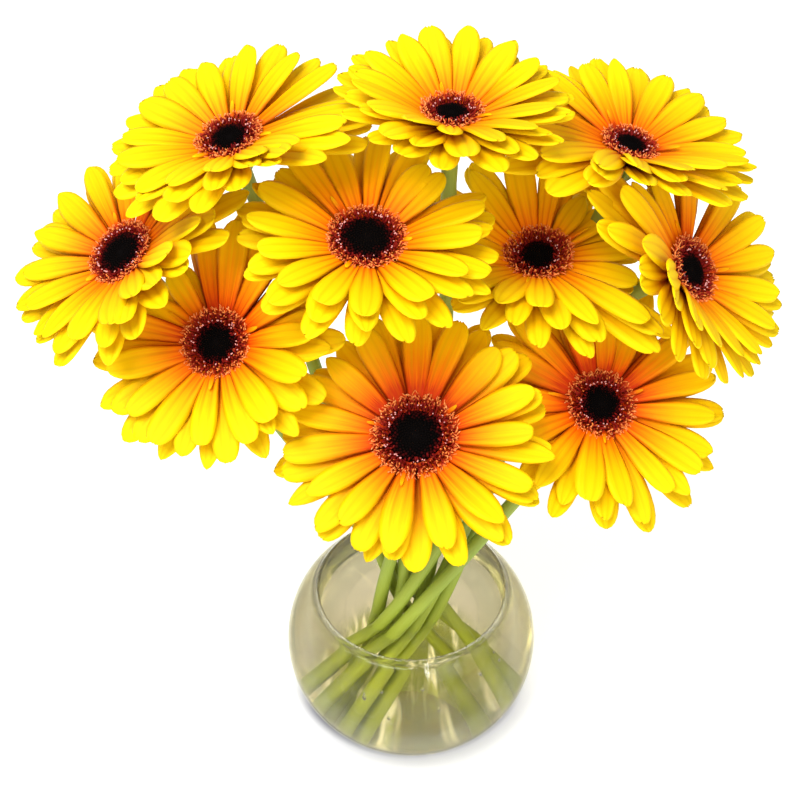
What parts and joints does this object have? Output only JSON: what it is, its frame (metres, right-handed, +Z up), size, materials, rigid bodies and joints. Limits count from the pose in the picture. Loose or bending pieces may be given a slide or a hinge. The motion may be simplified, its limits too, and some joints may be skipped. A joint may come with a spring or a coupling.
{
  "type": "gerberas in a vase",
  "caption": "Bunch of yellow gerberas with dark eyes and maroon fringes, standing on green stems in a round clear glass bowl of water.",
  "frame": {"origin": "centre of the bowl's flat foot, on the surface it stands on", "axes": "+Z up, +X to the right of someone who looks at the bouquet's face, +Y away from them"},
  "size_m": [0.3308, 0.1891, 0.328],
  "materials": {
    "glass": "gloss",
    "water": "gloss",
    "stem": "satin",
    "petals": "matte",
    "fringe": "matte",
    "eye": "matte"
  },
  "bodies": {
    "root": {"vase": "glass", "water": "water", "gerbera_01_stem": "stem", "gerbera_01_petals": "petals", "gerbera_01_fringe": "fringe", "gerbera_01_eye": "eye", "gerbera_02_stem": "stem", "gerbera_02_petals": "petals", "gerbera_02_fringe": "fringe", "gerbera_02_eye": "eye", "gerbera_03_stem": "stem", "gerbera_03_petals": "petals", "gerbera_03_fringe": "fringe", "gerbera_03_eye": "eye", "gerbera_04_stem": "stem", "gerbera_04_petals": "petals", "gerbera_04_fringe": "fringe", "gerbera_04_eye": "eye", "gerbera_05_stem": "stem", "gerbera_05_petals": "petals", "gerbera_05_fringe": "fringe", "gerbera_05_eye": "eye", "gerbera_06_stem": "stem", "gerbera_06_petals": "petals", "gerbera_06_fringe": "fringe", "gerbera_06_eye": "eye", "gerbera_07_stem": "stem", "gerbera_07_petals": "petals", "gerbera_07_fringe": "fringe", "gerbera_07_eye": "eye", "gerbera_08_stem": "stem", "gerbera_08_petals": "petals", "gerbera_08_fringe": "fringe", "gerbera_08_eye": "eye", "gerbera_09_stem": "stem", "gerbera_09_petals": "petals", "gerbera_09_fringe": "fringe", "gerbera_09_eye": "eye", "gerbera_10_stem": "stem", "gerbera_10_petals": "petals", "gerbera_10_fringe": "fringe", "gerbera_10_eye": "eye"}
  },
  "joints": []
}
